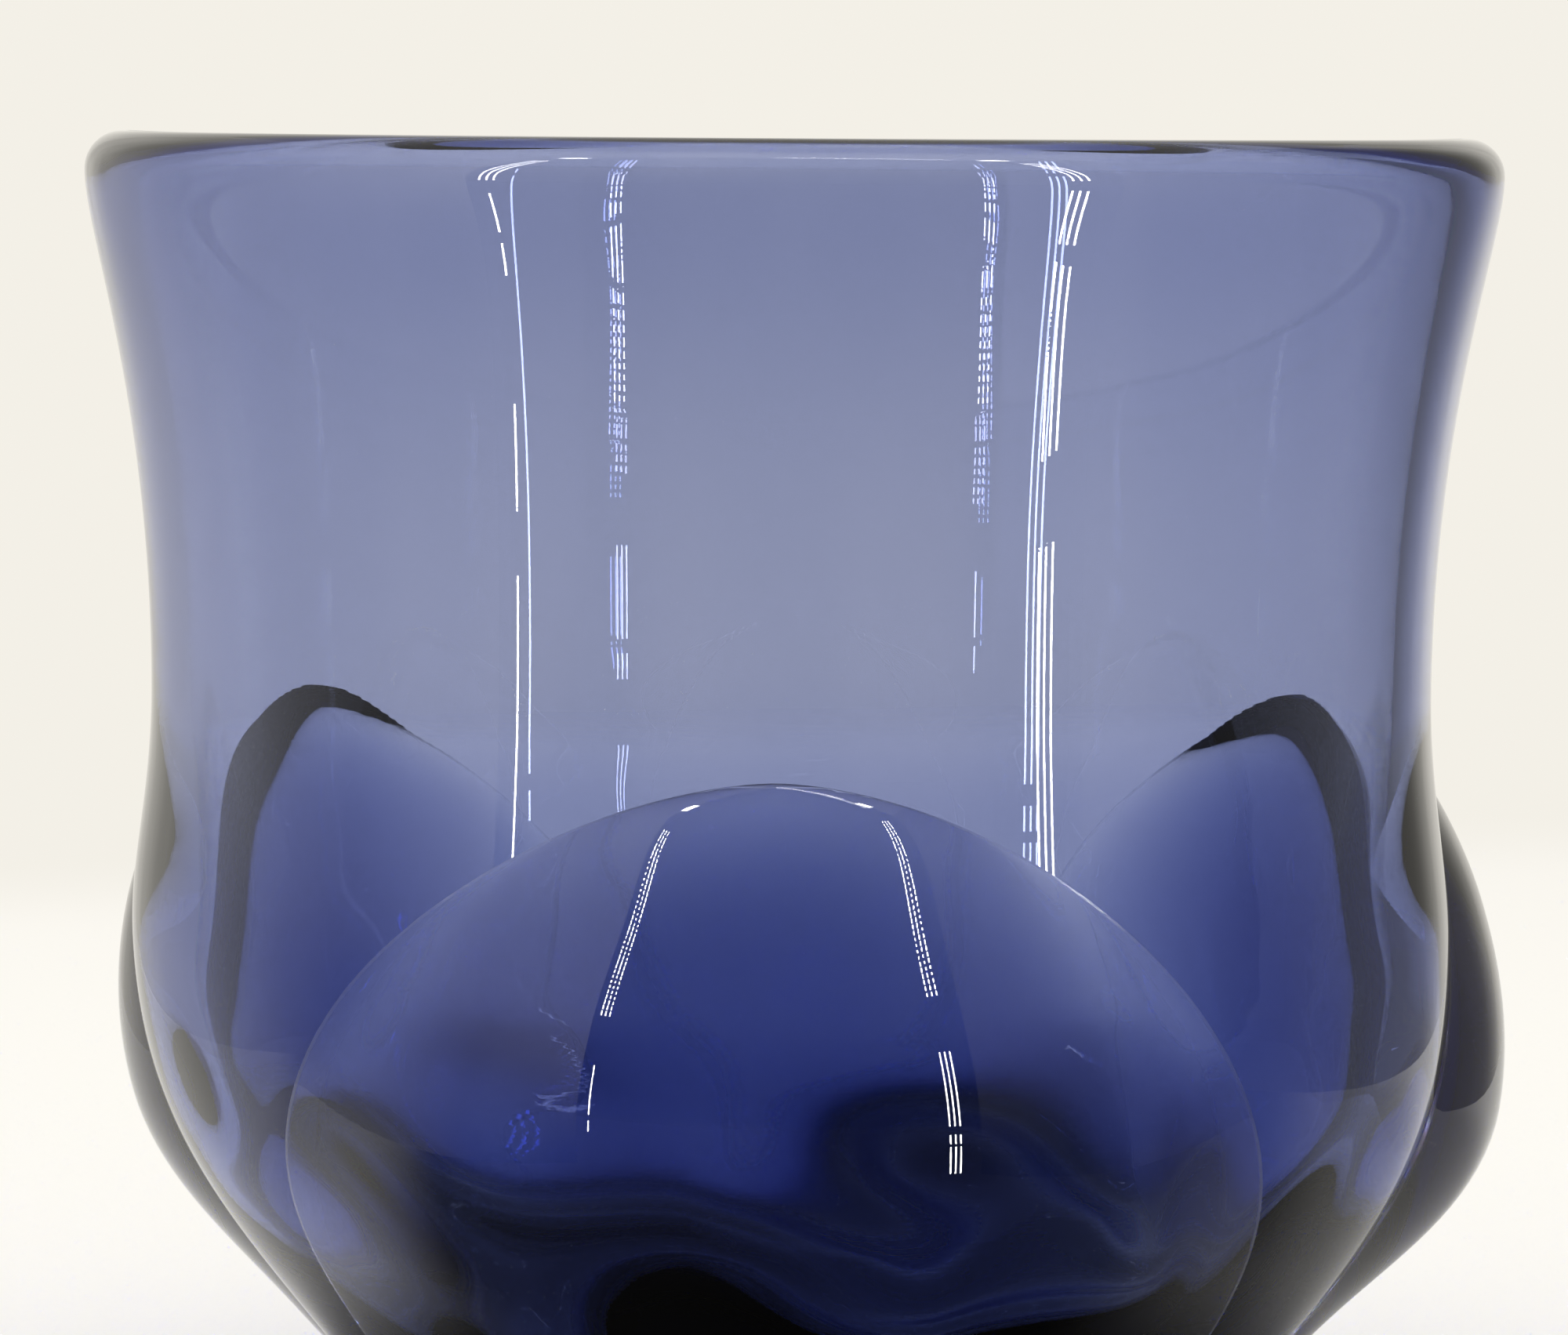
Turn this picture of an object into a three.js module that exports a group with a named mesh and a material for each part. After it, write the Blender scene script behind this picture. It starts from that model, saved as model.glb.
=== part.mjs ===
// Blown glass vase with three petals of hot glass applied to its wall.
// Millimetres, +Z up, origin at the centre of the resting face, front petal towards -Y.
// The body is a turned cup with a thick solid base. Each petal is a lofted, crowned gather that
// follows the outside of the body, with its outline seated a fixed clearance off the glass below.
import * as THREE from 'three';

// Heights of the body, each measured down from the top of the lip.
const vaseHeight = 118;
const waistDrop = 46.8;
const bellyDrop = 68;
const cavityDepth = 99.8;

// Radii of the outside of the body, and of the flat face that it rests on.
const lipRadius = 60;
const waistRadius = 54.5;
const bellyRadius = 56.3;
const restRadius = 28.1;

// The lip and the wall of the cup. The top of the lip is flat between its two rounds.
const lipOuterRound = 3.2;
const lipFlat = 0.2;
const lipWall = 4.3;
const waistWall = 3.7;
const bellyWall = 4.85;

// The foot is ground flat. Its edge is rounded, and the base draws in to it at this angle off upright.
const footRound = 2.4;
const footTaper = THREE.MathUtils.degToRad(36.6);

// How firmly each curve of the outside leaves and meets its stations, as handle lengths.
const lipHandle = 5.6;
const waistHandleUp = 24.5;
const waistHandleDown = 9;
const bellyHandleUp = 6.5;
const bellyHandleDown = 20.2;
const footHandle = 29.6;

// The fullness of the bowl under the belly, down its wall and along its floor, as shares of both.
const bowlWallFullness = 0.81;
const bowlFloorFullness = 0.86;

// Where the outline of a petal starts, is widest and ends, measured down from the top of the lip.
const petalTopDrop = 49.6;
const petalWidestDrop = 101.4;

// The height of the tail of a petal over the resting face.
const petalTailHeight = 3.4;

// The fullness of the arch of the outline: a half is an ellipse, and more is more pointed.
const petalArchPower = 0.58;

// The crown of a petal down its length: where the swelling starts to thin towards the tail, and the share
// of it that is left there.
const crownFullDrop = 82;
const crownThinDrop = 105;
const tailCrown = 0.25;

// The crown of a petal across: round under its top, and gathered to the middle line below that drop.
const topGather = 1;
const gatheredDrop = 68;

// The step at the outline of a petal, how round the edge above the step is, and the clearance between a
// petal and the body.
const edgeStep = 0.5;
const edgePower = 0.6;
const seatClearance = 0.3;

// The three petals: bearing from the front, half of the angle each one covers, and how far its top leans to
// the right of its bearing and its tail to the left of it. Then its crown, how slowly that swells from the
// outline, how closely it is gathered to the middle line, and the height of the rounded edge.
const petals = [
  {
    name: 'petal_front',
    bearing: 0,
    halfAngle: 50.5,
    lean: 2.3,
    crown: 8.9,
    rise: 0.86,
    gather: 2.8,
    edge: 2,
  },
  {
    name: 'petal_right',
    bearing: 121,
    halfAngle: 40.1,
    lean: 0,
    crown: 13.2,
    rise: 0.51,
    gather: 1.8,
    edge: 0,
  },
  {
    name: 'petal_left',
    bearing: 240.8,
    halfAngle: 40.4,
    lean: 0.5,
    crown: 11.6,
    rise: 0.51,
    gather: 1.8,
    edge: 0,
  },
];

// Mesh fineness.
const turnSteps = 64;
const curveSteps = 7;
const roundSteps = 4;
const petalRows = 24;
const petalColumns = 18;

// How finely the outside is read under a petal: samples on each curve, and the reach that gives a slope.
const outsideSteps = 120;
const slopeReach = 0.5;

// Height above the resting face of a place that is given as a drop from the lip.
const level = (drop) => vaseHeight - drop;

const point = (radius, height) => new THREE.Vector2(radius, height);

// A smooth curve between two stations of the profile.
function sweep(from, handleFrom, handleTo, to) {
  return new THREE.CubicBezierCurve(from, handleFrom, handleTo, to);
}

// A rounded edge of the profile about its centre, from one angle to another.
function roundEdge(radius, height, size, fromAngle, toAngle) {
  const arc = new THREE.EllipseCurve(radius, height, size, size, fromAngle, toAngle, toAngle < fromAngle);
  return arc.getPoints(roundSteps);
}

// The outside of the body from the lip to the foot, as three curves that meet smoothly.
const lipEdge = point(lipRadius, level(lipOuterRound));
const waist = point(waistRadius, level(waistDrop));
const belly = point(bellyRadius, level(bellyDrop));
const footEdge = point(
  restRadius + footRound * Math.cos(footTaper),
  footRound * (1 - Math.sin(footTaper)),
);
const outsideCurves = [
  sweep(
    lipEdge,
    point(lipRadius, lipEdge.y - lipHandle),
    point(waistRadius, waist.y + waistHandleUp),
    waist,
  ),
  sweep(
    waist,
    point(waistRadius, waist.y - waistHandleDown),
    point(bellyRadius, belly.y + bellyHandleUp),
    belly,
  ),
  sweep(
    belly,
    point(bellyRadius, belly.y - bellyHandleDown),
    point(
      footEdge.x + footHandle * Math.sin(footTaper),
      footEdge.y + footHandle * Math.cos(footTaper),
    ),
    footEdge,
  ),
];

// The inside of the cup from the lip to the middle of the cavity floor.
const lipInnerRound = lipWall - lipOuterRound - lipFlat;
const innerLip = point(lipRadius - lipWall, level(lipInnerRound));
const innerWaist = point(waistRadius - waistWall, waist.y);
const innerBelly = point(bellyRadius - bellyWall, belly.y);
const cavityFloor = point(0, level(cavityDepth));
const insideCurves = [
  sweep(
    innerLip,
    point(innerLip.x, innerLip.y - lipHandle),
    point(innerWaist.x, waist.y + waistHandleUp),
    innerWaist,
  ),
  sweep(
    innerWaist,
    point(innerWaist.x, waist.y - waistHandleDown),
    point(innerBelly.x, belly.y + bellyHandleUp),
    innerBelly,
  ),
  sweep(
    innerBelly,
    point(innerBelly.x, belly.y - bowlWallFullness * (belly.y - cavityFloor.y)),
    point(bowlFloorFullness * innerBelly.x, cavityFloor.y),
    cavityFloor,
  ),
];

// Points along a chain of curves, without doubling the stations.
function pointsAlong(curves) {
  return curves.flatMap((curve, i) => curve.getPoints(curveSteps).slice(i === 0 ? 0 : 1));
}

// The closed profile of the body, from the axis under the foot round to the cavity floor.
function bodyProfile() {
  const foot = roundEdge(restRadius, footRound, footRound, -Math.PI / 2, -footTaper);
  const lipOuter = roundEdge(lipRadius - lipOuterRound, lipEdge.y, lipOuterRound, 0, Math.PI / 2);
  const lipInner = roundEdge(innerLip.x + lipInnerRound, innerLip.y, lipInnerRound, Math.PI / 2, Math.PI);
  const profile = [
    point(0, 0),
    ...foot,
    ...pointsAlong(outsideCurves).reverse().slice(1),
    ...lipOuter.slice(1),
    ...lipInner,
    ...pointsAlong(insideCurves).slice(1),
  ];
  profile.at(-1).x = 0;
  return profile;
}

// The outside radius of the body at a height, read off the same curves.
const outsideSamples = outsideCurves.flatMap((curve) => curve.getPoints(outsideSteps));
function outsideRadius(height) {
  const next = outsideSamples.findIndex((p) => p.y <= height);
  if (next <= 0) return outsideSamples[0].x;
  const a = outsideSamples[next - 1];
  const b = outsideSamples[next];
  return THREE.MathUtils.mapLinear(height, a.y, b.y, a.x, b.x);
}

// The direction that the outside of the body faces at a height, as radius and height parts.
function outsideNormal(height) {
  const rise = outsideRadius(height + slopeReach) - outsideRadius(height - slopeReach);
  return point(1, -rise / (2 * slopeReach)).normalize();
}

const petalTailDrop = vaseHeight - petalTailHeight;

// How far down the outline a drop lies: 1 at the top or the tail of the petal and 0 where it is widest.
function outlinePlace(drop) {
  const reach = drop < petalWidestDrop ? petalWidestDrop - petalTopDrop : petalTailDrop - petalWidestDrop;
  return Math.min(1, Math.abs(drop - petalWidestDrop) / reach);
}

// Half of the angle that a petal covers at a drop.
function petalHalfAngle(petal, drop) {
  const fullness = (1 - outlinePlace(drop) ** 2) ** petalArchPower;
  return THREE.MathUtils.degToRad(petal.halfAngle) * fullness;
}

// The bearing of a place on a petal. across is 0 on its middle line and 1 at its outline.
function petalBearing(petal, drop, across) {
  const place = THREE.MathUtils.mapLinear(drop, petalTopDrop, petalTailDrop, 1, -1);
  return THREE.MathUtils.degToRad(petal.lean) * place + across * petalHalfAngle(petal, drop);
}

// The share of its crown that a petal has on its middle line at a drop.
function crownAlong(petal, drop) {
  const thinning = THREE.MathUtils.smoothstep(drop, crownFullDrop, crownThinDrop);
  return (1 - outlinePlace(drop) ** 2) ** petal.rise * THREE.MathUtils.lerp(1, tailCrown, thinning);
}

// The height of a petal over the glass below it, across as for the bearing.
function petalThickness(petal, drop, across) {
  const below = THREE.MathUtils.smoothstep(drop, petalTopDrop, gatheredDrop);
  const gather = THREE.MathUtils.lerp(topGather, petal.gather, below);
  const full = 1 - across ** 2;
  const inside = (1 - outlinePlace(drop) ** 2) * full;
  const crown = petal.crown * crownAlong(petal, drop) * full ** gather;
  return edgeStep + petal.edge * inside ** edgePower + crown;
}

// A place on a petal: bearing, drop, and height off the outside of the body.
function petalPoint(bearing, drop, off) {
  const height = level(drop);
  const normal = outsideNormal(height);
  const radius = outsideRadius(height) + normal.x * off;
  return new THREE.Vector3(
    radius * Math.sin(bearing),
    -radius * Math.cos(bearing),
    height + normal.y * off,
  );
}

// A petal as a closed solid: an outer and a seated sheet of the same grid, sewn round the outline.
function petalGeometry(petal) {
  const rows = [];
  for (let i = 0; i <= petalRows; i += 1) {
    const share = (1 - Math.cos((Math.PI * i) / petalRows)) / 2;
    rows.push(THREE.MathUtils.lerp(petalTopDrop, petalTailDrop, share));
  }
  const vertices = [];
  const vertex = (drop, across, off) => {
    const p = petalPoint(petalBearing(petal, drop, across), drop, off);
    vertices.push(p.x, p.y, p.z);
    return vertices.length / 3 - 1;
  };
  const sheet = (offAt) => rows.map((drop, i) => {
    const tip = i === 0 || i === petalRows;
    if (tip) return [vertex(drop, 1, offAt(drop, 1))];
    return Array.from({ length: petalColumns + 1 }, (_, j) => {
      const across = -Math.cos((Math.PI * j) / petalColumns);
      return vertex(drop, across, offAt(drop, across));
    });
  });
  const outer = sheet((drop, across) => seatClearance + petalThickness(petal, drop, across));
  const seat = sheet(() => seatClearance);

  const faces = [];
  const at = (row, j) => row[Math.min(j, row.length - 1)];
  const face = (a, b, c) => {
    if (a !== b && b !== c && c !== a) faces.push(a, b, c);
  };
  for (let i = 0; i < petalRows; i += 1) {
    for (let j = 0; j < petalColumns; j += 1) {
      face(at(outer[i], j), at(outer[i + 1], j), at(outer[i + 1], j + 1));
      face(at(outer[i], j), at(outer[i + 1], j + 1), at(outer[i], j + 1));
      face(at(seat[i], j), at(seat[i + 1], j + 1), at(seat[i + 1], j));
      face(at(seat[i], j), at(seat[i], j + 1), at(seat[i + 1], j + 1));
    }
    face(outer[i][0], seat[i][0], seat[i + 1][0]);
    face(outer[i][0], seat[i + 1][0], outer[i + 1][0]);
    face(outer[i].at(-1), seat[i + 1].at(-1), seat[i].at(-1));
    face(outer[i].at(-1), outer[i + 1].at(-1), seat[i + 1].at(-1));
  }
  const geometry = new THREE.BufferGeometry();
  geometry.setAttribute('position', new THREE.Float32BufferAttribute(vertices, 3));
  geometry.setIndex(faces);
  geometry.computeVertexNormals();
  return geometry;
}

function glass(color) {
  return new THREE.MeshStandardMaterial({ color, roughness: 0.03, metalness: 0 });
}

const vase = new THREE.Group();

const body = new THREE.Mesh(new THREE.LatheGeometry(bodyProfile(), turnSteps), glass(0x7f88c0));
body.name = 'body';
body.rotation.x = Math.PI / 2;
vase.add(body);

for (const petal of petals) {
  const mesh = new THREE.Mesh(petalGeometry(petal), glass(0x46509e));
  mesh.name = petal.name;
  mesh.rotation.z = THREE.MathUtils.degToRad(petal.bearing);
  vase.add(mesh);
}

export default vase;
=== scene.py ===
"""Blown glass vase with three petals of hot glass applied to its wall, in a small white light tent.

Sizes are in millimetres and are turned into metres where a mesh, a light or the camera is made.
"""
import math

import bpy
import numpy as np
from mathutils import Matrix, Vector, noise as smooth_noise


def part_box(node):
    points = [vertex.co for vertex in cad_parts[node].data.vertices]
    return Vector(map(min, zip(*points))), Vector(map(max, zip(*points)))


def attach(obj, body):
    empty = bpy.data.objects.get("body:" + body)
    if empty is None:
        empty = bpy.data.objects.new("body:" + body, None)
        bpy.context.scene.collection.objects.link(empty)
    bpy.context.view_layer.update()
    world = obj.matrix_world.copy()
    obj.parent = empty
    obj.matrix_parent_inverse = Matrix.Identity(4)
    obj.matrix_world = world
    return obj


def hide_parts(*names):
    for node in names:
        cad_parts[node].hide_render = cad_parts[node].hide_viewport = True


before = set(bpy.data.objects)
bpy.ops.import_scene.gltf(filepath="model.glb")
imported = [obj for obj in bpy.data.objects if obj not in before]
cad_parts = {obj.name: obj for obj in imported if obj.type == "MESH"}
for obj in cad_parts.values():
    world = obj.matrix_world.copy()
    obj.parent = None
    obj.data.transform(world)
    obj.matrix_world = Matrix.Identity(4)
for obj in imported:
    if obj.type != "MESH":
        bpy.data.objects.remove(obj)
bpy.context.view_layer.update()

MM = 0.001

# The body, from the frame and by the drop of each station from the top of the lip.
VASE_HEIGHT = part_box("body")[1].z / MM
LIP_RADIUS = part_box("body")[1].x / MM
WAIST_DROP = 46.8
WAIST_RADIUS = 54.5
BELLY_DROP = 68.0
BELLY_RADIUS = 56.3
CAVITY_DEPTH = 99.8
REST_RADIUS = 28.1

# The lip and the wall of the cup.
LIP_OUTER_ROUND = 3.2
LIP_FLAT = 0.2
LIP_WALL = 3.8
WAIST_WALL = 3.2
BELLY_WALL = 4.85

# The edge of the foot.
FOOT_ROUND = 2.4
FOOT_TAPER = math.radians(36.6)

# How firmly each curve of the profile leaves and meets its stations.
LIP_HANDLE = 5.6
WAIST_HANDLE_UP = 24.5
WAIST_HANDLE_DOWN = 9.0
BELLY_HANDLE_UP = 6.5
BELLY_HANDLE_DOWN = 20.2
FOOT_HANDLE = 29.6
BOWL_WALL_FULLNESS = 0.66
BOWL_FLOOR_FULLNESS = 0.86

# The inside of the bowl is uneven where the hot petals met the wall: how far, over what length,
# which part of the noise it takes, and the heights where it is full and where it ends.
UNEVEN_REACH = 2.6
UNEVEN_LENGTH = 17.0
UNEVEN_START = Vector((11.3, 7.9, 2.4))
UNEVEN_FULL = 32.0
UNEVEN_END = 49.0

# The outline of a petal.
PETAL_TOP_DROP = 49.6
PETAL_WIDEST_DROP = 101.4
PETAL_TAIL_DROP = VASE_HEIGHT - 3.4
PETAL_ARCH_POWER = 0.58

# The crown of a petal down its length and across it.
CROWN_FULL_DROP = 82.0
CROWN_THIN_DROP = 105.0
TAIL_CROWN = 0.25
TOP_GATHER = 1.0
GATHERED_DROP = 68.0

# Each petal: bearing from the front, half of the angle that it covers and lean of its middle line.
# Its crown: how high, how slowly it swells from the top, and how closely it is gathered to the
# middle line. Its edge: how high, and how gently it rises from the wall.
PETALS = {
    "petal_front": dict(
        bearing=0.0, half_angle=50.5, lean=2.3,
        crown=9.4, rise=0.86, gather=2.3, edge=2.4, edge_power=0.95,
    ),
    "petal_right": dict(
        bearing=121.0, half_angle=40.1, lean=0.0,
        crown=11.3, rise=0.6, gather=1.1, edge=1.2, edge_power=1.3,
    ),
    "petal_left": dict(
        bearing=240.8, half_angle=40.4, lean=0.5,
        crown=8.0, rise=0.56, gather=1.0, edge=1.8, edge_power=1.3,
    ),
}

# The lower half leans a little to the right of the camera: how far, and the heights where the
# lean starts and where it is full.
LEAN = 1.7
LEAN_TOP = 58.0
LEAN_FOOT = 16.0

# The mouth falls a little towards its back, by this share of the way there, from this height up.
MOUTH_FALL = 0.0145
MOUTH_FALL_FROM = 85.0

# A petal is melted to the wall: how far off the wall its seat lies, how far inside its outline the
# faces start to let light straight through, and the depth that stands for no weld.
WELD_GAP = 0.02
WELD_INSET = 0.3
NO_WELD = -1.0

# The seam round the outline of a petal is a little hazy: how wide, how rough, and the distance that
# stands for no seam.
SEAM_WIDTH = 1.1
SEAM_ROUGHNESS = 0.4
NO_SEAM = 99.0

# Mesh fineness, and the reach over which the slope of the outside is taken.
TURN_STEPS = 320
CURVE_STEPS = 56
ROUND_STEPS = 12
PETAL_ROWS = 96
PETAL_COLUMNS = 96
SLOPE_REACH = 0.5

# The glass: how much it bends light, how strongly a metre of it absorbs, and the share of that from
# which it spares red, green and blue.
GLASS_IOR = 1.5
GLASS_DENSITY = 200.0
GLASS_TINT = (0.18, 0.28, 0.65)

# The surface of the glass: how high its streaks, its soft swells and its fine ripples stand, in
# metres, on the body and on a petal.
BODY_SURFACE = dict(streaks=5e-5, swell=4e-5, ripple=4e-8)
PETAL_SURFACE = dict(streaks=3e-5, swell=8e-5, ripple=8e-8)

# The noise of the streaks and of the swells: how much it is drawn out upwards, and how many clouds
# it has to a metre.
STREAK_STRETCH = 7.0
STREAK_SCALE = 85.0
SWELL_STRETCH = 1.4
SWELL_SCALE = 55.0

# The ripples: how far apart they are, and how far the swells lead them astray, in radians.
RIPPLE_PITCH = 0.42
RIPPLE_WANDER = 9.0

# The colour of a clear and of a deep streak, and the part of the noise over which one turns into
# the other.
CLEAR_STREAK = (1.0, 1.0, 1.0, 1.0)
DEEP_STREAK = (0.98, 0.983, 0.99, 1.0)
STREAK_EDGE = (0.35, 0.65)

# The camera, round the axis of the vase.
CAMERA_BEARING = math.radians(3.4)
CAMERA_DISTANCE = 543.3
CAMERA_OVER_LIP = 3.0
CAMERA_PITCH = math.radians(5.1)
CAMERA_YAW = math.radians(0.066)
CAMERA_ROLL = math.radians(0.37)
CAMERA_LENS = 146.36
CAMERA_SENSOR = 36.0
CAMERA_NEAR = 10.0
CAMERA_FAR = 60000.0


# The profile of the body.

def bezier(start, handle_start, handle_end, end):
    """Points on a smooth curve between two stations."""
    t = np.linspace(0.0, 1.0, CURVE_STEPS + 1)[:, None]
    u = 1 - t
    a, b, c, d = (np.array(p, float) for p in (start, handle_start, handle_end, end))
    return u ** 3 * a + 3 * u ** 2 * t * b + 3 * u * t ** 2 * c + t ** 3 * d


def arc(radius, height, size, start, end):
    """Points on a rounded edge about its centre."""
    angles = np.linspace(start, end, ROUND_STEPS + 1)
    return np.stack([radius + size * np.cos(angles), height + size * np.sin(angles)], axis=1)


def level(drop):
    """The height at a drop from the top of the lip."""
    return VASE_HEIGHT - drop


LIP_EDGE = (LIP_RADIUS, level(LIP_OUTER_ROUND))
WAIST = (WAIST_RADIUS, level(WAIST_DROP))
BELLY = (BELLY_RADIUS, level(BELLY_DROP))
FOOT_EDGE = (
    REST_RADIUS + FOOT_ROUND * math.cos(FOOT_TAPER),
    FOOT_ROUND * (1 - math.sin(FOOT_TAPER)),
)


def outside_profile():
    """The outside from the lip down to the foot, as radius and height."""
    lip = bezier(
        LIP_EDGE,
        (LIP_RADIUS, LIP_EDGE[1] - LIP_HANDLE),
        (WAIST_RADIUS, WAIST[1] + WAIST_HANDLE_UP),
        WAIST,
    )
    waist = bezier(
        WAIST,
        (WAIST_RADIUS, WAIST[1] - WAIST_HANDLE_DOWN),
        (BELLY_RADIUS, BELLY[1] + BELLY_HANDLE_UP),
        BELLY,
    )
    base = bezier(
        BELLY,
        (BELLY_RADIUS, BELLY[1] - BELLY_HANDLE_DOWN),
        (
            FOOT_EDGE[0] + FOOT_HANDLE * math.sin(FOOT_TAPER),
            FOOT_EDGE[1] + FOOT_HANDLE * math.cos(FOOT_TAPER),
        ),
        FOOT_EDGE,
    )
    return np.vstack([lip, waist[1:], base[1:]])


def inside_profile():
    """The inside of the cup from the lip down to the middle of its floor."""
    lip_inner_round = LIP_WALL - LIP_OUTER_ROUND - LIP_FLAT
    lip = (LIP_RADIUS - LIP_WALL, level(lip_inner_round))
    waist = (WAIST_RADIUS - WAIST_WALL, WAIST[1])
    belly = (BELLY_RADIUS - BELLY_WALL, BELLY[1])
    floor = (0.0, level(CAVITY_DEPTH))
    upper = bezier(
        lip,
        (lip[0], lip[1] - LIP_HANDLE),
        (waist[0], waist[1] + WAIST_HANDLE_UP),
        waist,
    )
    middle = bezier(
        waist,
        (waist[0], waist[1] - WAIST_HANDLE_DOWN),
        (belly[0], belly[1] + BELLY_HANDLE_UP),
        belly,
    )
    bowl = bezier(
        belly,
        (belly[0], belly[1] - BOWL_WALL_FULLNESS * (belly[1] - floor[1])),
        (BOWL_FLOOR_FULLNESS * belly[0], floor[1]),
        floor,
    )
    round_edge = arc(lip[0] + lip_inner_round, lip[1], lip_inner_round, math.pi / 2, math.pi)
    return np.vstack([round_edge, upper[1:], middle[1:], bowl[1:]])


def body_profile():
    """The profile from the edge of the resting face to the floor of the cup, without the axis."""
    foot = arc(REST_RADIUS, FOOT_ROUND, FOOT_ROUND, -math.pi / 2, -FOOT_TAPER)
    lip = arc(LIP_RADIUS - LIP_OUTER_ROUND, LIP_EDGE[1], LIP_OUTER_ROUND, 0.0, math.pi / 2)
    outside = outside_profile()[::-1]
    inside = inside_profile()
    return np.vstack([foot, outside[1:], lip[1:], inside[:-1]])


OUTSIDE = outside_profile()[::-1]


def outside_radius(height):
    return np.interp(height, OUTSIDE[:, 1], OUTSIDE[:, 0])


def outside_normal(height):
    """The direction that the outside faces at a height, as radius and height parts."""
    change = outside_radius(height + SLOPE_REACH) - outside_radius(height - SLOPE_REACH)
    slope = change / (2 * SLOPE_REACH)
    size = np.sqrt(1 + slope ** 2)
    return 1 / size, -slope / size


# The petals.

def smoothstep(x, low, high):
    """A smooth change from 0 to 1 while x goes from low to high."""
    t = np.clip((x - low) / (high - low), 0.0, 1.0)
    return t * t * (3 - 2 * t)


def outline_place(drop):
    """1 at the top or the tail of a petal and 0 where it is widest."""
    above = PETAL_WIDEST_DROP - PETAL_TOP_DROP
    below = PETAL_TAIL_DROP - PETAL_WIDEST_DROP
    reach = np.where(drop < PETAL_WIDEST_DROP, above, below)
    return np.clip(np.abs(drop - PETAL_WIDEST_DROP) / reach, 0.0, 1.0)


def petal_half_angle(petal, drop):
    """Half of the angle that a petal covers."""
    return math.radians(petal["half_angle"]) * (1 - outline_place(drop) ** 2) ** PETAL_ARCH_POWER


def petal_middle(petal, drop):
    """The bearing of the middle line of a petal."""
    place = np.interp(drop, (PETAL_TOP_DROP, PETAL_TAIL_DROP), (1.0, -1.0))
    return math.radians(petal["bearing"]) + math.radians(petal["lean"]) * place


def petal_bearing(petal, drop, across):
    """The bearing of a place on a petal.

    across is 0 on the middle line of the petal, and -1 or 1 at its outline.
    """
    return petal_middle(petal, drop) + across * petal_half_angle(petal, drop)


def petal_thickness(petal, drop, across):
    """The height of a petal over the wall."""
    down_length = 1 - outline_place(drop) ** 2
    full = 1 - across ** 2
    thinning = smoothstep(drop, CROWN_FULL_DROP, CROWN_THIN_DROP)
    swelling = down_length ** petal["rise"] * (1 + (TAIL_CROWN - 1) * thinning)
    gathered = smoothstep(drop, PETAL_TOP_DROP, GATHERED_DROP)
    gather = TOP_GATHER + (petal["gather"] - TOP_GATHER) * gathered
    crown = petal["crown"] * swelling * full ** gather
    return petal["edge"] * (down_length * full) ** petal["edge_power"] + crown


def petal_points(petal, drop, across, off):
    """Places on a petal, at a height off the outside of the body."""
    bearing = petal_bearing(petal, drop, across)
    height = level(drop)
    normal_out, normal_up = outside_normal(height)
    radius = outside_radius(height) + normal_out * off
    return np.stack(
        [radius * np.sin(bearing), -radius * np.cos(bearing), height + normal_up * off],
        axis=-1,
    )


def weld_depth(petal, bearing, height):
    """How far inside the weld of a petal a place on the outside of the body lies."""
    drop = VASE_HEIGHT - height
    off = np.abs((bearing - petal_middle(petal, drop) + math.pi) % (2 * math.pi) - math.pi)
    from_side = (petal_half_angle(petal, drop) - off) * outside_radius(height)
    from_end = np.minimum(drop - PETAL_TOP_DROP, PETAL_TAIL_DROP - drop)
    return np.minimum(from_side, from_end) - WELD_INSET


# Meshes.

def leaned(points):
    """The points after the lean of the lower half and the fall of the mouth towards its back."""
    to_right = np.array([math.cos(CAMERA_BEARING), math.sin(CAMERA_BEARING), 0.0])
    shift = LEAN * (1 - smoothstep(points[:, 2:], LEAN_FOOT, LEAN_TOP))
    moved = points + shift * to_right
    behind = points[:, 1] * math.cos(CAMERA_BEARING) - points[:, 0] * math.sin(CAMERA_BEARING)
    at_mouth = smoothstep(points[:, 2], MOUTH_FALL_FROM, VASE_HEIGHT)
    moved[:, 2] -= MOUTH_FALL * np.maximum(behind, 0.0) * at_mouth
    return moved


def make_piece(name, points, faces, welded, seam, material):
    """A smooth closed piece from points in millimetres.

    It carries how deep each point lies in a weld, and how far from the seam round a petal.
    """
    mesh = bpy.data.meshes.new(name)
    mesh.from_pydata((leaned(points) * MM).tolist(), [], faces)
    mesh.polygons.foreach_set("use_smooth", [True] * len(mesh.polygons))
    for layer_name, values in (("weld_depth", welded), ("seam_distance", seam)):
        layer = mesh.attributes.new(layer_name, "FLOAT", "POINT")
        layer.data.foreach_set("value", values.astype(np.float32))
    mesh.materials.append(material)
    mesh.update()
    piece = bpy.data.objects.new(name, mesh)
    bpy.context.scene.collection.objects.link(piece)
    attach(piece, "root")
    return piece


def unevenness(points):
    """How far the inside of the bowl stands off its smooth shape, for places on it."""
    share = 1 - smoothstep(points[:, 2], UNEVEN_FULL, UNEVEN_END)
    places = [Vector(point) / UNEVEN_LENGTH + UNEVEN_START for point in points]
    return UNEVEN_REACH * share * np.array([smooth_noise.noise(place) for place in places])


def turned(profile, bearings):
    """A profile of radius and height turned round the axis, as one ring of places after another."""
    radius = profile[:, :1]
    height = np.repeat(profile[:, 1:], len(bearings), axis=1)
    rings = (radius * np.sin(bearings), -radius * np.cos(bearings), height)
    return np.stack(rings, axis=-1).reshape(-1, 3)


def ring_faces(lower, upper, count):
    """The quads between two rings of points, numbered from lower and from upper."""
    step = np.arange(count)
    following = (step + 1) % count
    corners = (lower + step, lower + following, upper + following, upper + step)
    return np.stack(corners, axis=1).tolist()


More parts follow.
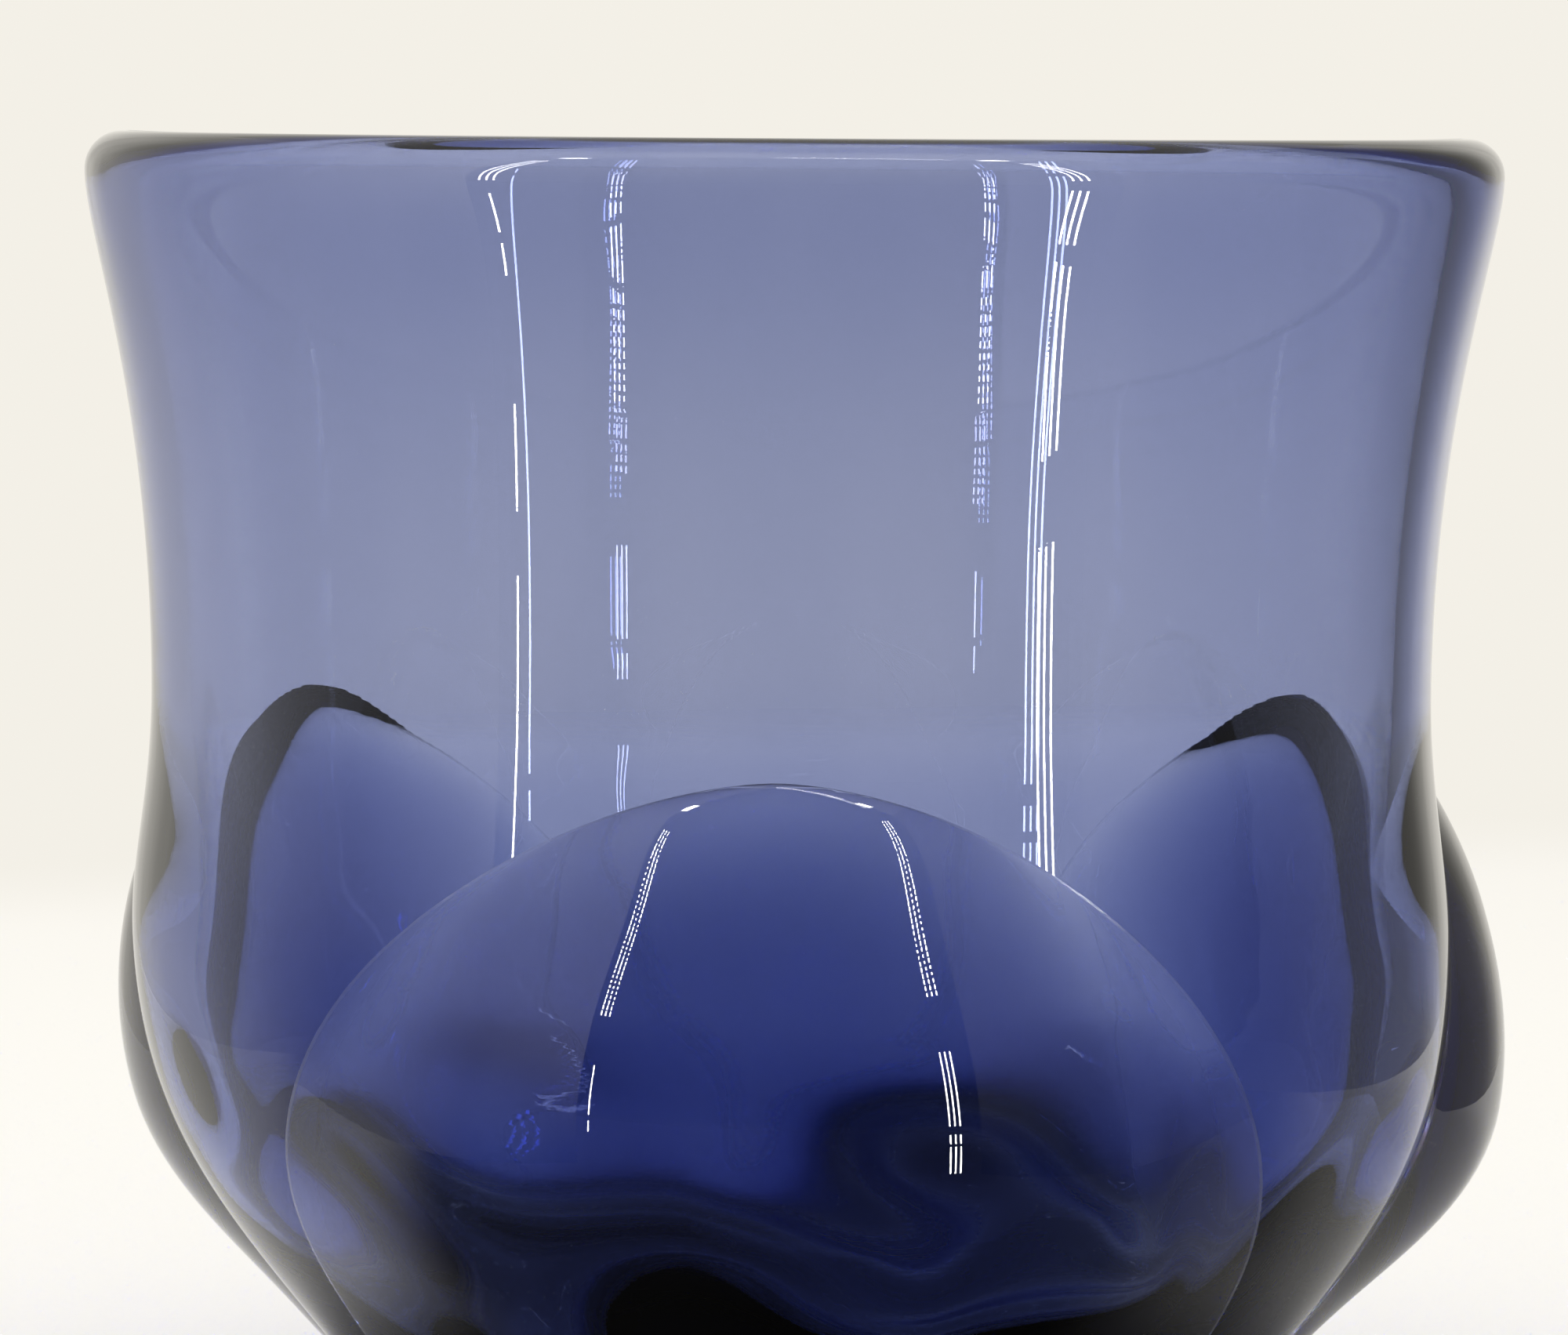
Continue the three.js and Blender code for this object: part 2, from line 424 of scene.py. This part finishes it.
def build_body(material):
    """The blown body, turned from its profile, with its inside left uneven."""
    profile = body_profile()
    bearings = np.arange(TURN_STEPS) * 2 * math.pi / TURN_STEPS
    points = turned(profile, bearings)
    foot_middle = len(points)
    floor_middle = foot_middle + 1
    points = np.vstack([points, [[0, 0, 0], [0, 0, level(CAVITY_DEPTH)]]])

    lip_top = int(np.argmax(profile[:, 1]))
    inside = slice((lip_top + 1) * TURN_STEPS, len(profile) * TURN_STEPS)
    down_profile = np.gradient(profile, axis=0)
    facing = np.stack([-down_profile[:, 1], down_profile[:, 0]], axis=1)
    facing /= np.linalg.norm(facing, axis=1)[:, None]
    off_wall = unevenness(points[inside])[:, None]
    points[inside] += off_wall * turned(facing, bearings)[inside]
    points[floor_middle, 2] -= unevenness(points[floor_middle:])[0]

    faces = []
    for i in range(len(profile) - 1):
        faces += ring_faces(i * TURN_STEPS, (i + 1) * TURN_STEPS, TURN_STEPS)
    last = (len(profile) - 1) * TURN_STEPS
    for j in range(TURN_STEPS):
        k = (j + 1) % TURN_STEPS
        faces.append((k, j, foot_middle))
        faces.append((last + j, last + k, floor_middle))

    welded = np.full(len(points), NO_WELD)
    outside = slice(0, lip_top * TURN_STEPS)
    bearing = np.tile(bearings, lip_top)
    height = np.repeat(profile[:lip_top, 1], TURN_STEPS)
    depths = [weld_depth(petal, bearing, height) for petal in PETALS.values()]
    welded[outside] = np.max(depths, axis=0)
    no_seam = np.full(len(points), NO_SEAM)
    body = make_piece("blown_body", points, faces, welded, no_seam, material)
    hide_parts("body")


def build_petal(node, petal, material):
    """A petal: its outer sheet and its seat, which share their outline and their two tips."""
    share = (1 - np.cos(math.pi * np.arange(1, PETAL_ROWS) / PETAL_ROWS)) / 2
    drops = PETAL_TOP_DROP + (PETAL_TAIL_DROP - PETAL_TOP_DROP) * share
    across = -np.cos(math.pi * np.arange(PETAL_COLUMNS + 1) / PETAL_COLUMNS)
    drop, side = np.meshgrid(drops, across, indexing="ij")
    outer = petal_points(petal, drop, side, WELD_GAP + petal_thickness(petal, drop, side))
    seat = petal_points(petal, drop[:, 1:-1], side[:, 1:-1], WELD_GAP)
    tip_drops = np.array([PETAL_TOP_DROP, PETAL_TAIL_DROP])
    tips = petal_points(petal, tip_drops, np.zeros(2), WELD_GAP)

    points = np.vstack([outer.reshape(-1, 3), seat.reshape(-1, 3), tips])
    rows, columns = drop.shape
    outer_index = np.arange(rows * columns).reshape(rows, columns)
    seat_index = outer_index.copy()
    seat_count = rows * (columns - 2)
    seat_index[:, 1:-1] = rows * columns + np.arange(seat_count).reshape(rows, columns - 2)
    top = len(points) - 2
    tail = len(points) - 1

    faces = []
    for i in range(rows - 1):
        for j in range(columns - 1):
            a, b = outer_index[i, j], outer_index[i, j + 1]
            c, d = outer_index[i + 1, j + 1], outer_index[i + 1, j]
            faces.append((a, d, c, b))
            a, b = seat_index[i, j], seat_index[i, j + 1]
            c, d = seat_index[i + 1, j + 1], seat_index[i + 1, j]
            faces.append((a, b, c, d))
    for j in range(columns - 1):
        faces.append((top, outer_index[0, j], outer_index[0, j + 1]))
        faces.append((top, seat_index[0, j + 1], seat_index[0, j]))
        faces.append((tail, outer_index[-1, j + 1], outer_index[-1, j]))
        faces.append((tail, seat_index[-1, j], seat_index[-1, j + 1]))
    faces = [tuple(int(v) for v in face) for face in faces]

    depth = weld_depth(petal, petal_bearing(petal, drop, side), level(drop))
    on_outer = np.full(rows * columns, NO_WELD)
    welded = np.concatenate([on_outer, depth[:, 1:-1].ravel(), [NO_WELD, NO_WELD]])
    on_seat = np.full(seat_count, NO_SEAM)
    seam = np.concatenate([depth.ravel() + WELD_INSET, on_seat, [0.0, 0.0]])
    piece = make_piece("applied_" + node, points, faces, welded, seam, material)
    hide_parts(node)


# Shader nodes.

def add(tree, kind, inputs=None, **settings):
    """A new node. Each input is a value to set or a socket to join."""
    node = tree.nodes.new("ShaderNode" + kind)
    for name, value in settings.items():
        setattr(node, name, value)
    for name, value in (inputs or {}).items():
        if isinstance(value, bpy.types.NodeSocket):
            tree.links.new(value, node.inputs[name])
        else:
            node.inputs[name].default_value = value
    return node


def calc(tree, operation, *values):
    """The result of a sum on numbers or sockets."""
    return add(tree, "Math", dict(enumerate(values)), operation=operation).outputs[0]


def fade(tree, value, low, high, at_low=0.0, at_high=1.0):
    """A smooth change from one number to another while the value goes from low to high."""
    inputs = {
        "Value": value,
        "From Min": low,
        "From Max": high,
        "To Min": at_low,
        "To Max": at_high,
    }
    return add(tree, "MapRange", inputs, interpolation_type="SMOOTHSTEP").outputs["Result"]


def along(tree, vector, direction):
    """How far a vector goes in a direction."""
    node = add(tree, "VectorMath", {0: vector, 1: direction}, operation="DOT_PRODUCT")
    return node.outputs["Value"]


def metres(stretch):
    """Both ends of a stretch in metres."""
    return [end * MM for end in stretch]


def blend(tree, factor, first, second):
    """Two shaders, mixed."""
    return add(tree, "MixShader", {0: factor, 1: first, 2: second}).outputs[0]


def new_material(name):
    material = bpy.data.materials.new(name)
    material.use_nodes = True
    material.node_tree.nodes.clear()
    return material


def finish_material(material, surface, volume=None):
    inputs = {"Surface": surface}
    if volume:
        inputs["Volume"] = volume
    add(material.node_tree, "OutputMaterial", inputs)
    return material


def after_reflections(tree):
    """The share of a light that is left once the gain of each reflection is taken back."""
    ray = add(tree, "LightPath")
    return calc(tree, "POWER", 1 / REFLECTION_GAIN, ray.outputs["Glossy Depth"])


def reflected(tree):
    """1 for a ray with a reflection on its way, and 0 for any other."""
    ray = add(tree, "LightPath")
    return calc(tree, "MINIMUM", ray.outputs["Glossy Depth"], 1.0)


# The glass.

def noise(tree, place, stretch, scale):
    """Soft noise from 0 to 1, drawn out along the height of the vase."""
    drawn = add(tree, "Mapping", {"Vector": place, "Scale": (1.0, 1.0, 1.0 / stretch)}).outputs[0]
    return add(tree, "TexNoise", {"Vector": drawn, "Scale": scale, "Detail": 0.0}).outputs["Fac"]


def glass_material(name, streaks, swell, ripple):
    """Blue-violet glass that takes light out by the length of the way through it.

    Its surface swells softly, and has streaks from the pull of the blowing and fine ripples round
    the vase.
    """
    material = new_material(name)
    tree = material.node_tree
    place = add(tree, "TexCoord").outputs["Object"]
    drawn = noise(tree, place, STREAK_STRETCH, STREAK_SCALE)
    soft = noise(tree, place, SWELL_STRETCH, SWELL_SCALE)
    up = add(tree, "SeparateXYZ", {0: place}).outputs["Z"]
    turns = calc(tree, "MULTIPLY", up, 2 * math.pi / RIPPLE_PITCH / MM)
    turns = calc(tree, "MULTIPLY_ADD", soft, RIPPLE_WANDER, turns)
    height = calc(tree, "MULTIPLY", drawn, streaks)
    height = calc(tree, "MULTIPLY_ADD", soft, swell, height)
    height = calc(tree, "MULTIPLY_ADD", calc(tree, "SINE", turns), ripple, height)
    bump = {"Height": height, "Distance": 1.0, "Strength": 1.0}
    normal = add(tree, "Bump", bump).outputs[0]

    tints = {"Factor": fade(tree, drawn, *STREAK_EDGE), "A": CLEAR_STREAK, "B": DEEP_STREAK}
    tint = add(tree, "Mix", tints, data_type="RGBA").outputs["Result"]
    seam = add(tree, "Attribute", attribute_name="seam_distance").outputs["Fac"]
    haze = fade(tree, seam, 0.0, SEAM_WIDTH, SEAM_ROUGHNESS, 0.0)
    bending = {"Color": tint, "Roughness": haze, "IOR": GLASS_IOR, "Normal": normal}
    bent = add(tree, "BsdfRefraction", bending)
    gain = (REFLECTION_GAIN, REFLECTION_GAIN, REFLECTION_GAIN, 1)
    mirrored = add(tree, "BsdfGlossy", {"Color": gain, "Roughness": 0.0, "Normal": normal})
    facing = add(tree, "Fresnel", {"IOR": GLASS_IOR, "Normal": normal})
    glass = blend(tree, facing.outputs[0], bent.outputs[0], mirrored.outputs[0])

    weld = add(tree, "Attribute", attribute_name="weld_depth")
    welded = calc(tree, "GREATER_THAN", weld.outputs["Fac"], 0.0)
    shadow = add(tree, "LightPath").outputs["Is Shadow Ray"]
    open_share = calc(tree, "MAXIMUM", welded, shadow)
    through = add(tree, "BsdfTransparent", {"Color": (1, 1, 1, 1)})
    surface = blend(tree, open_share, glass, through.outputs[0])

    absorbing = {"Color": (*GLASS_TINT, 1), "Density": GLASS_DENSITY}
    absorption = add(tree, "VolumeAbsorption", absorbing)
    return finish_material(material, surface, absorption.outputs[0])


# The studio: floor, tent and lamps. Its right and ahead are those of the camera.

# The colours of the surroundings, of the floor and of the dim room ahead.
BACKGROUND = (0.90, 0.87, 0.80)
FLOOR_COLOR = (0.97, 0.945, 0.885)
ROOM = (0.01, 0.01, 0.01)

# Each reflection in the glass is made stronger by this, so that fewer samples find the lamps. The
# lights are weaker by as much at the end of such a way.
REFLECTION_GAIN = 5.0

# How often light may turn on its way, how often it may be mirrored, and how many open faces it may
# go through.
MOST_BOUNCES = 16
MOST_REFLECTIONS = 7
MOST_OPEN_FACES = 24

# The floor: half of its width, how fine its grain is, and the tone of the darker grains.
FLOOR_HALF_WIDTH = 20000.0
GRAIN_SCALE = 900.0
GRAIN_TONE = 0.985

# The edge of the bright floor behind the vase: how far off, at what angle, and how soft. Past it,
# the floor has the colour of the surroundings, which it takes on all round over this distance.
FLOOR_EDGE = 430.0
FLOOR_EDGE_TURN = math.radians(19.0)
FLOOR_EDGE_SOFT = 50.0
FLOOR_FAR = (800.0, 2500.0)

# The tent: half of its width, its open front ahead of the vase, its back and its height.
TENT_HALF_WIDTH = 180.0
TENT_FRONT = 174.0
TENT_BACK = 430.0
TENT_HEIGHT = 356.0

# Painted shade: its sides are dim below this height ahead of the vase, over this stretch towards
# the camera.
TENT_LOW = 110.0
TENT_LOW_AHEAD = (-30.0, 90.0)

# Painted light and shade: how bright the glowing tent is on the left, on the right, where it is
# painted darker, and above. Over this stretch behind the vase, the sides go over to their tone at
# the back.
TENT_LEFT = 0.9
TENT_RIGHT_SHADE = 0.33
TENT_TOP = 0.8
TENT_BACK_TONE = 1.0
TENT_TONE_BEHIND = (120.0, 280.0)

# The unevenness of its cloth: how fine it is, the part of the noise that it takes, and its tones.
CLOTH_SCALE = 9.0
CLOTH_DETAIL = 3.0
CLOTH_NOISE = (0.3, 0.7)
CLOTH_TONE = (0.88, 1.06)

# Painted shade: how bright the floor is in the glass on the left, on the right and in front of the
# vase, where it is painted darker, and the stretches over which one tone goes over to the next: to
# the right, at the back and to the front.
FLOOR_LEFT = 1.0
FLOOR_RIGHT_SHADE = 0.6
FLOOR_FRONT_SHADE = 0.06
FLOOR_TO_RIGHT = (-30.0, 30.0)
FLOOR_AT_BACK = (-140.0, -60.0)
FLOOR_TO_FRONT = (-5.0, 45.0)

# A shadow of the thick base painted into the floor round the foot: where it is full and where it
# ends, and how dark it is.
PAINTED_SHADOW = (36.0, 68.0)
PAINTED_SHADOW_TONE = 0.03

# The dim room ahead of the tent: the stretch of directions over which the surroundings give way
# to it.
ROOM_AHEAD = (-0.3, -0.1)

# The soft light: the part from the surroundings, and a broad lamp over the vase.
SURROUNDINGS_STRENGTH = 0.8
SOFT_LAMP_SIZE = 800.0
SOFT_LAMP_HEIGHT = 900.0
SOFT_LAMP_WATTS = 2.6

# The rows of lamps round the opening: how far ahead and how high they are, how strong, of what
# colour and how wide. In a dotted row, each pitch is lit over this share.
LAMP_AHEAD = 170.0
LAMP_HEIGHT = 350.0
LAMP_STRENGTH = 60.0
LAMP_COLOR = (1, 0.98, 0.96, 1)
LAMP_WIDTH = 1.2
LAMP_PITCH = 5.0
LAMP_SHARE = 0.6

# The upright rows: how far out they stand, and each lit stretch of theirs as low end, high end and
# number of rows side by side. The stretches that start above this height are dotted.
LAMPS_RIGHT = (137.5, ((8.0, 28.0, 3), (31.0, 37.0, 3), (43.0, 92.0, 3), (126.0, 300.0, 3)))
LAMPS_LEFT = (-155.0, ((30.0, 38.0, 1), (43.0, 80.0, 1), (113.0, 300.0, 3)))
LAMP_SPACING = 4.2
LAMP_DOTS_FROM = 100.0

# The rows over the opening: from where to where they are lit, and how many there are. A short
# bright stretch stands at each corner.
LAMPS_TOP = (-12.0, 98.0)
LAMPS_TOP_ROWS = 5
LAMP_CORNER = 20.0


def studio_point(right, ahead, up):
    """A place in the studio in metres. ahead is towards the camera."""
    turn = Matrix.Rotation(CAMERA_BEARING, 3, "Z")
    return turn @ Vector((right * MM, -ahead * MM, up * MM))


TO_RIGHT = studio_point(1 / MM, 0, 0)
TO_CAMERA = studio_point(0, 1 / MM, 0)


def stage_piece(name, corners, material, uvs=((0, 0), (1, 0), (1, 1), (0, 1))):
    """A flat four-sided piece of the studio."""
    mesh = bpy.data.meshes.new(name)
    mesh.from_pydata([studio_point(*corner) for corner in corners], [], [(0, 1, 2, 3)])
    layer = mesh.uv_layers.new(name="place")
    for corner, uv in zip(layer.data, uvs):
        corner.uv = uv
    mesh.materials.append(material)
    material.cycles.emission_sampling = "NONE"
    piece = bpy.data.objects.new(name, mesh)
    bpy.context.scene.collection.objects.link(piece)
    return piece


def only_in_glass(piece):
    """Let a piece be seen in the glass alone, so that it lights and shades nothing else."""
    piece.visible_camera = False
    piece.visible_diffuse = False
    piece.visible_shadow = False


def lamp_material():
    """Bright lamps, one to each whole step along a row."""
    material = new_material("lamp_row")
    tree = material.node_tree
    place = add(tree, "TexCoord")
    parts = add(tree, "SeparateXYZ", {0: place.outputs["UV"]})
    lit = calc(tree, "LESS_THAN", calc(tree, "FRACT", parts.outputs["Y"]), LAMP_SHARE)
    strength = calc(tree, "MULTIPLY", lit, LAMP_STRENGTH)
    strength = calc(tree, "MULTIPLY", strength, after_reflections(tree))
    light = add(tree, "Emission", {"Color": LAMP_COLOR, "Strength": strength})
    return finish_material(material, light.outputs[0])


def lamp_row(name, start, end, across, material, dotted, width=LAMP_WIDTH):
    """A strip of lamps between two places of the studio."""
    start, end, across = (np.array(v, float) for v in (start, end, across))
    half = across / np.linalg.norm(across) * width / 2
    corners = (start - half, start + half, end + half, end - half)
    count = np.linalg.norm(end - start) / LAMP_PITCH if dotted else 0.0
    uvs = ((0, 0), (1, 0), (1, count), (0, count))
    only_in_glass(stage_piece(name, corners, material, uvs))


def build_upright_lamps(side, out, lit, material):
    """The upright rows on one side of the opening, and the bright stretch at their corner."""
    across = np.array([1.0, -math.copysign(1.0, out)]) / math.sqrt(2)
    for low, high, rows in lit:
        dotted = low > LAMP_DOTS_FROM
        for number in range(rows):
            place = (out, LAMP_AHEAD) + across * (number - (rows - 1) / 2) * LAMP_SPACING
            name = f"lamps_{side}_{low:.0f}_{number}"
            lamp_row(name, (*place, low), (*place, high), (*across, 0), material, dotted)
    corner = (out, LAMP_AHEAD, LAMP_HEIGHT)
    inner = (out - math.copysign(LAMP_CORNER, out), LAMP_AHEAD, LAMP_HEIGHT)
    lamp_row(f"lamps_{side}_corner", corner, inner, (0, 1, 1), material, False, LAMP_CORNER)


def build_lamps():
    material = lamp_material()
    build_upright_lamps("right", *LAMPS_RIGHT, material)
    build_upright_lamps("left", *LAMPS_LEFT, material)
    first, last = LAMPS_TOP
    for number in range(LAMPS_TOP_ROWS):
        off = (number - (LAMPS_TOP_ROWS - 1) / 2) * LAMP_SPACING / math.sqrt(2)
        start = (first, LAMP_AHEAD + off, LAMP_HEIGHT + off)
        end = (last, LAMP_AHEAD + off, LAMP_HEIGHT + off)
        lamp_row(f"lamps_top_{number}", start, end, (0, 1, 1), material, True)


def tent_material(name, tone_front, tone_back):
    """Cloth that glows with painted light and shade, a little uneven, from its tone at the front to
    its tone at the back.
    """
    material = new_material(name)
    tree = material.node_tree
    place = add(tree, "NewGeometry").outputs["Position"]
    behind = along(tree, place, -TO_CAMERA)
    tone = fade(tree, behind, *metres(TENT_TONE_BEHIND), tone_front, tone_back)
    up = add(tree, "SeparateXYZ", {0: place}).outputs["Z"]
    # Painted shade: the sides are dimmed low down ahead of the vase.
    low = fade(tree, up, 0.0, TENT_LOW * MM, 1.0, 0.0)
    low_ahead = fade(tree, along(tree, place, TO_CAMERA), *metres(TENT_LOW_AHEAD))
    low = calc(tree, "MULTIPLY", low, low_ahead)
    tone = calc(tree, "MULTIPLY", tone, calc(tree, "SUBTRACT", 1.0, low))
    cloth = {"Vector": place, "Scale": CLOTH_SCALE, "Detail": CLOTH_DETAIL}
    clouds = add(tree, "TexNoise", cloth).outputs["Fac"]
    tone = calc(tree, "MULTIPLY", tone, fade(tree, clouds, *CLOTH_NOISE, *CLOTH_TONE))
    strength = calc(tree, "MULTIPLY", tone, after_reflections(tree))
    light = add(tree, "Emission", {"Color": (*BACKGROUND, 1), "Strength": strength})
    clear = add(tree, "BsdfTransparent")
    surface = blend(tree, reflected(tree), clear.outputs[0], light.outputs[0])
    return finish_material(material, surface)


def build_tent():
    w, front, back, top = TENT_HALF_WIDTH, TENT_FRONT, -TENT_BACK, TENT_HEIGHT
    left = ((-w, front, 0), (-w, back, 0), (-w, back, top), (-w, front, top))
    right = ((w, front, 0), (w, back, 0), (w, back, top), (w, front, top))
    ceiling = ((-w, front, top), (w, front, top), (w, back, top), (-w, back, top))
    for name, corners, tone_front, tone_back in (
        ("tent_left", left, TENT_LEFT, TENT_BACK_TONE),
        ("tent_right", right, TENT_RIGHT_SHADE, TENT_BACK_TONE),
        ("tent_top", ceiling, TENT_TOP, TENT_TOP),
    ):
        material = tent_material(name, tone_front, tone_back)
        only_in_glass(stage_piece(name, corners, material))


def floor_edge(tree, place, distance):
    """How far the floor has gone over to the colour of the surroundings."""
    edge_turn = CAMERA_BEARING + FLOOR_EDGE_TURN
    behind = along(tree, place, (-math.sin(edge_turn), math.cos(edge_turn), 0))
    edge = (FLOOR_EDGE - FLOOR_EDGE_SOFT, FLOOR_EDGE + FLOOR_EDGE_SOFT)
    past_edge = fade(tree, behind, *metres(edge))
    far = calc(tree, "MAXIMUM", past_edge, fade(tree, distance, *metres(FLOOR_FAR)))
    lighting = add(tree, "LightPath").outputs["Is Diffuse Ray"]
    return calc(tree, "MULTIPLY", far, calc(tree, "SUBTRACT", 1.0, lighting))


def mix_numbers(tree, factor, first, second):
    """Two numbers, mixed."""
    first = calc(tree, "MULTIPLY", first, calc(tree, "SUBTRACT", 1.0, factor))
    return calc(tree, "ADD", first, calc(tree, "MULTIPLY", second, factor))


def floor_tone(tree, place):
    """How bright the floor is. Only its reflection in the glass differs from place to place, with
    painted shade on the right and in front of the vase.
    """
    ahead = along(tree, place, TO_CAMERA)
    right = along(tree, place, TO_RIGHT)
    # Painted shade: in the glass the floor is darker on the right and in front of the vase.
    side = fade(tree, right, *metres(FLOOR_TO_RIGHT), FLOOR_LEFT, FLOOR_RIGHT_SHADE)
    back = fade(tree, ahead, *metres(FLOOR_AT_BACK), 1.0, 0.0)
    front = fade(tree, ahead, *metres(FLOOR_TO_FRONT), 1.0, FLOOR_FRONT_SHADE)
    tone = calc(tree, "MULTIPLY", mix_numbers(tree, back, side, 1.0), front)
    tone = mix_numbers(tree, reflected(tree), 1.0, tone)
    return calc(tree, "MULTIPLY", tone, after_reflections(tree))


def build_floor():
    """A pale floor that takes the shadow of the vase, with a painted shadow of the base round the
    foot and painted shade where it is seen in the glass. It is open from below.
    """
    material = new_material("pale_floor")
    tree = material.node_tree
    geometry = add(tree, "NewGeometry").outputs
    place = geometry["Position"]
    distance = add(tree, "VectorMath", {0: place}, operation="LENGTH").outputs["Value"]
    far = floor_edge(tree, place, distance)
    tone = floor_tone(tree, place)
    glow = add(tree, "Emission", {"Color": (*BACKGROUND, 1), "Strength": tone})

    # Painted shadow: the floor colour is darkened round the foot.
    painted_shadow = fade(tree, distance, *metres(PAINTED_SHADOW), PAINTED_SHADOW_TONE, 1.0)
    grain = add(tree, "TexNoise", {"Vector": place, "Scale": GRAIN_SCALE}).outputs["Fac"]
    dull = [GRAIN_TONE * part for part in FLOOR_COLOR]
    colors = {"Factor": grain, "A": (*dull, 1), "B": (*FLOOR_COLOR, 1)}
    color = add(tree, "Mix", colors, data_type="RGBA").outputs["Result"]
    scaled = {0: color, 3: calc(tree, "MULTIPLY", tone, painted_shadow)}
    color = add(tree, "VectorMath", scaled, operation="SCALE").outputs[0]
    near = add(tree, "BsdfDiffuse", {"Color": color})
    upper = blend(tree, far, near.outputs[0], glow.outputs[0])
    under = add(tree, "BsdfTransparent", {"Color": (1, 1, 1, 1)})
    finish_material(material, blend(tree, geometry["Backfacing"], upper, under.outputs[0]))

    w = FLOOR_HALF_WIDTH
    stage_piece("floor", ((-w, -w, 0), (-w, w, 0), (w, w, 0), (w, -w, 0)), material)


def build_world():
    """White surroundings. A ray with a reflection on its way finds a dim room ahead instead."""
    world = bpy.data.worlds.new("surroundings")
    world.use_nodes = True
    bpy.context.scene.world = world
    tree = world.node_tree
    tree.nodes.clear()
    place = add(tree, "TexCoord").outputs["Generated"]
    ahead = fade(tree, along(tree, place, TO_CAMERA), *ROOM_AHEAD)
    in_room = calc(tree, "MULTIPLY", reflected(tree), ahead)
    colors = {"Factor": in_room, "A": (*BACKGROUND, 1), "B": (*ROOM, 1)}
    color = add(tree, "Mix", colors, data_type="RGBA").outputs["Result"]
    seen = add(tree, "Background", {"Color": color, "Strength": after_reflections(tree)})
    white = {"Color": (1, 1, 1, 1), "Strength": SURROUNDINGS_STRENGTH}
    light = add(tree, "Background", white)
    lighting = add(tree, "LightPath").outputs["Is Diffuse Ray"]
    surroundings = blend(tree, lighting, seen.outputs[0], light.outputs[0])
    add(tree, "OutputWorld", {"Surface": surroundings})


def build_soft_light():
    """A broad soft lamp over the vase."""
    lamp = bpy.data.lights.new("soft_light", "AREA")
    lamp.shape = "SQUARE"
    lamp.size = SOFT_LAMP_SIZE * MM
    lamp.energy = SOFT_LAMP_WATTS
    light = bpy.data.objects.new("soft_light", lamp)
    light.location = (0, 0, SOFT_LAMP_HEIGHT * MM)
    bpy.context.scene.collection.objects.link(light)


def build_camera():
    camera = bpy.data.cameras.new("camera")
    camera.lens = CAMERA_LENS
    camera.sensor_width = CAMERA_SENSOR
    camera.clip_start = CAMERA_NEAR * MM
    camera.clip_end = CAMERA_FAR * MM
    rig = bpy.data.objects.new("camera", camera)
    upright = Matrix.Rotation(math.pi / 2, 4, "X")
    turn = Matrix.Rotation(CAMERA_BEARING + CAMERA_YAW, 4, "Z")
    pitch = Matrix.Rotation(-CAMERA_PITCH, 4, "X")
    roll = Matrix.Rotation(CAMERA_ROLL, 4, "Z")
    place = studio_point(0, CAMERA_DISTANCE, VASE_HEIGHT + CAMERA_OVER_LIP)
    rig.matrix_world = Matrix.Translation(place) @ turn @ upright @ pitch @ roll
    bpy.context.scene.collection.objects.link(rig)
    bpy.context.scene.camera = rig


body_glass = glass_material("body_glass", **BODY_SURFACE)
petal_glass = glass_material("petal_glass", **PETAL_SURFACE)
build_body(body_glass)
for node, petal in PETALS.items():
    build_petal(node, petal, petal_glass)

build_floor()
build_tent()
build_lamps()
build_world()
build_soft_light()
build_camera()

scene = bpy.context.scene
scene.view_settings.view_transform = "Standard"
scene.cycles.max_bounces = MOST_BOUNCES
scene.cycles.transmission_bounces = MOST_BOUNCES
scene.cycles.glossy_bounces = MOST_REFLECTIONS
scene.cycles.transparent_max_bounces = MOST_OPEN_FACES
scene.cycles.sample_clamp_indirect = 0.0
